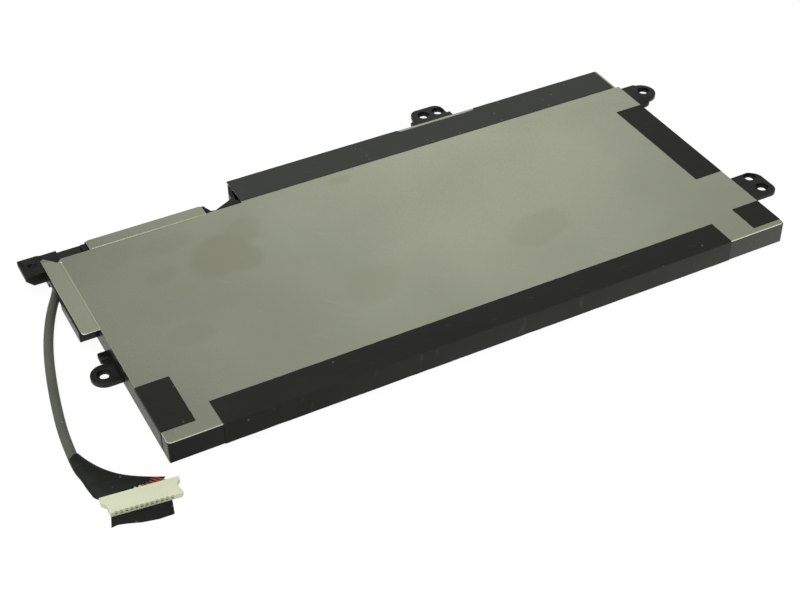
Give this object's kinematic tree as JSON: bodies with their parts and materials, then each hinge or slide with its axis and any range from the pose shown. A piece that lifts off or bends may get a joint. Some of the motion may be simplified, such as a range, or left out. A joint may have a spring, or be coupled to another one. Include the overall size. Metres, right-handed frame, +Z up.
{
  "type": "laptop battery",
  "caption": "Flat rectangular laptop battery with a metal cover, black moulded frame with screw lugs, black tapes and a sleeved cable with a flat connector",
  "frame": {"origin": "middle of the object's foot, cable and connector left out", "axes": "+X along the battery's length, +Z up out of the metal cover"},
  "size_m": [0.2364, 0.1322, 0.0074],
  "materials": {
    "cover_metal": "satin, smudged",
    "frame_plastic": "smooth moulded black",
    "film_black": "thin matt film",
    "pouch_foil": "satin foil",
    "adhesive": "adhesive pad",
    "aluminium_tab": "bright strip",
    "nickel": "nickel strip",
    "board_laminate": "green solder mask",
    "chip_black": "moulded epoxy",
    "capacitor_tan": "fired ceramic",
    "sensor_film": "amber film",
    "tape_black": "satin black tape",
    "tape_grey": "satin dark grey tape",
    "wire_red": "red insulation",
    "wire_black": "black insulation",
    "wire_yellow": "light insulation",
    "sleeve_black": "close braid",
    "wrap_black": "creased tape",
    "housing_cream": "moulded cream nylon",
    "contact_brass": "spring contact"
  },
  "bodies": {
    "root": {"bottom_film": "film_black", "cable_sleeve": "sleeve_black", "cable_wrap": "wrap_black", "capacitors": "capacitor_tan", "cell_left": "pouch_foil", "cell_middle": "pouch_foil", "cell_pad_left": "adhesive", "cell_pad_middle": "adhesive", "cell_pad_right": "adhesive", "cell_right": "pouch_foil", "circuit_board": "board_laminate", "connector_contacts": "contact_brass", "connector_housing": "housing_cream", "connector_leads_black": "wire_black", "connector_leads_red": "wire_red", "connector_leads_signal": "wire_yellow", "connector_tail_tape": "wrap_black", "frame": "frame_plastic", "fuse": "chip_black", "gauge_chip": "chip_black", "inner_wires_black": "wire_black", "inner_wires_red": "wire_red", "inner_wires_signal": "wire_yellow", "link_left_middle": "nickel", "link_middle_right": "nickel", "metal_cover": "cover_metal", "pack_negative_link": "nickel", "pack_positive_link": "nickel", "power_switches": "chip_black", "sense_resistor": "chip_black", "tab_negative_left": "nickel", "tab_negative_middle": "nickel", "tab_negative_right": "nickel", "tab_positive_left": "aluminium_tab", "tab_positive_middle": "aluminium_tab", "tab_positive_right": "aluminium_tab", "tape_back": "tape_grey", "tape_front": "tape_black", "tape_left_corner": "tape_black", "tape_right_long": "tape_black", "tape_right_short": "tape_black", "thermistor": "sensor_film"}
  },
  "joints": []
}
